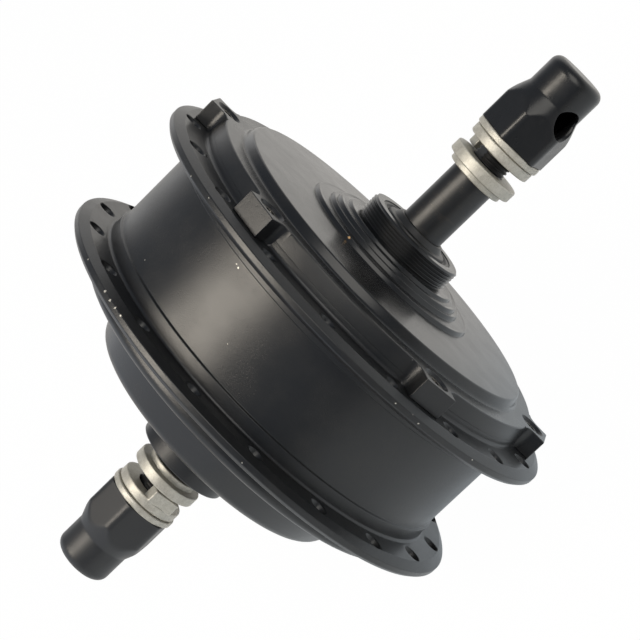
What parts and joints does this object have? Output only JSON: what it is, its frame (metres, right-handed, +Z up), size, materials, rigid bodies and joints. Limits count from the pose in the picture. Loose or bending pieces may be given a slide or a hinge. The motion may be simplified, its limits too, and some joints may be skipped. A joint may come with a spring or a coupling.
{
  "type": "bicycle hub motor",
  "caption": "Geared rear hub motor with spoke flanges, a threaded freewheel boss, a through axle with nuts and a planetary gear set with a one-way clutch inside.",
  "frame": {"origin": "on the axle line, midway between the two faces that the frame's dropouts rest on, which is also the middle of the whole part", "axes": "+Y along the axle towards the freewheel side, +Z up, +X square to both; the axle's flats lie square to Z, so the dropout slots open along X"},
  "size_m": [0.1564, 0.22, 0.1564],
  "materials": {
    "black_shell": "black stove paint with a fine orange-peel texture",
    "bare_steel": "turned steel",
    "zinc_steel": "zinc plated",
    "bearing_steel": "ground bearing steel",
    "seal_rubber": "moulded nitrile rubber",
    "cover_plastic": "black moulded plastic with a slight sheen",
    "cast_alloy": "die cast",
    "lamination_steel": "stacked electrical sheet",
    "insulator_plastic": "moulded end plates",
    "copper": "enamelled copper wire",
    "circuit_board": "green solder mask",
    "rotor_steel": "drawn steel can",
    "magnet": "nickel plated",
    "gear_steel": "hardened and oiled",
    "gear_nylon": "natural nylon, greased",
    "bush_bronze": "sintered bronze"
  },
  "bodies": {
    "axle": {"axle": "bare_steel", "stator_key": "bare_steel", "clutch_key": "bare_steel", "drive_spacer_washer": "zinc_steel", "left_spacer_washer": "zinc_steel", "drive_tab_washer": "zinc_steel", "left_tab_washer": "zinc_steel", "drive_axle_nut": "zinc_steel", "left_axle_nut": "zinc_steel", "drive_bearing_inner_race": "bearing_steel", "left_bearing_inner_race": "bearing_steel", "rotor_bearing_left_inner_race": "bearing_steel", "rotor_bearing_drive_inner_race": "bearing_steel", "stator_hub": "cast_alloy", "stator_core": "lamination_steel", "left_insulator": "insulator_plastic", "drive_insulator": "insulator_plastic", "stator_windings": "copper", "hall_board": "circuit_board", "stator_circlip": "zinc_steel", "rotor_circlip": "zinc_steel", "clutch_inner_race": "bare_steel", "thrust_washer": "zinc_steel", "bearing_sleeve": "bare_steel"},
    "hub": {"hub_shell": "black_shell", "drive_cover": "black_shell", "cover_screws": "zinc_steel", "ring_gear": "gear_steel", "drive_bearing_outer_race": "bearing_steel", "drive_bearing_balls": "bearing_steel", "left_bearing_outer_race": "bearing_steel", "left_bearing_balls": "bearing_steel", "drive_seal": "seal_rubber", "left_seal": "seal_rubber"},
    "rotor": {"rotor_can": "rotor_steel", "rotor_magnets": "magnet", "sun_gear": "gear_steel", "rotor_bearing_left_outer_race": "bearing_steel", "rotor_bearing_left_balls": "bearing_steel", "rotor_bearing_drive_outer_race": "bearing_steel", "rotor_bearing_drive_balls": "bearing_steel"},
    "carrier": {"planet_carrier": "gear_steel", "planet_pins": "bare_steel", "pin_clips": "bare_steel", "clutch_rollers": "bare_steel", "clutch_springs": "bare_steel"},
    "planet_1": {"planet_gear_1": "gear_nylon", "planet_bush_1": "bush_bronze"},
    "planet_2": {"planet_gear_2": "gear_nylon", "planet_bush_2": "bush_bronze"},
    "planet_3": {"planet_gear_3": "gear_nylon", "planet_bush_3": "bush_bronze"},
    "drive_nut_cover": {"drive_nut_cover": "cover_plastic"},
    "left_nut_cover": {"left_nut_cover": "cover_plastic"}
  },
  "joints": [
    {"name": "carrier_overrun", "type": "hinge", "parent": "axle", "child": "carrier", "pos_m": [0, 0, 0], "axis": [0, 1, 0], "continuous": true},
    {"name": "hub_spin", "type": "hinge", "parent": "carrier", "child": "hub", "pos_m": [0, 0, 0], "axis": [0, 1, 0], "continuous": true},
    {"name": "rotor_spin", "type": "hinge", "parent": "carrier", "child": "rotor", "pos_m": [0, 0, 0], "axis": [0, 1, 0], "continuous": true},
    {"name": "planet_1_spin", "type": "hinge", "parent": "carrier", "child": "planet_1", "pos_m": [0, 0.011, 0.0315], "axis": [0, 1, 0], "continuous": true},
    {"name": "planet_2_spin", "type": "hinge", "parent": "carrier", "child": "planet_2", "pos_m": [0.02728, 0.011, -0.01575], "axis": [0, 1, 0], "continuous": true},
    {"name": "planet_3_spin", "type": "hinge", "parent": "carrier", "child": "planet_3", "pos_m": [-0.02728, 0.011, -0.01575], "axis": [0, 1, 0], "continuous": true},
    {"name": "drive_cover_pull", "type": "slide", "parent": "axle", "child": "drive_nut_cover", "axis": [0, 1, 0], "range_m": [0, 0.03]},
    {"name": "left_cover_pull", "type": "slide", "parent": "axle", "child": "left_nut_cover", "axis": [0, -1, 0], "range_m": [0, 0.03]}
  ],
  "couplings": [
    {"joint": "rotor_spin", "follows": "hub_spin", "ratio": -4.6},
    {"joint": "planet_1_spin", "follows": "hub_spin", "ratio": 2.5556},
    {"joint": "planet_2_spin", "follows": "hub_spin", "ratio": 2.5556},
    {"joint": "planet_3_spin", "follows": "hub_spin", "ratio": 2.5556}
  ]
}
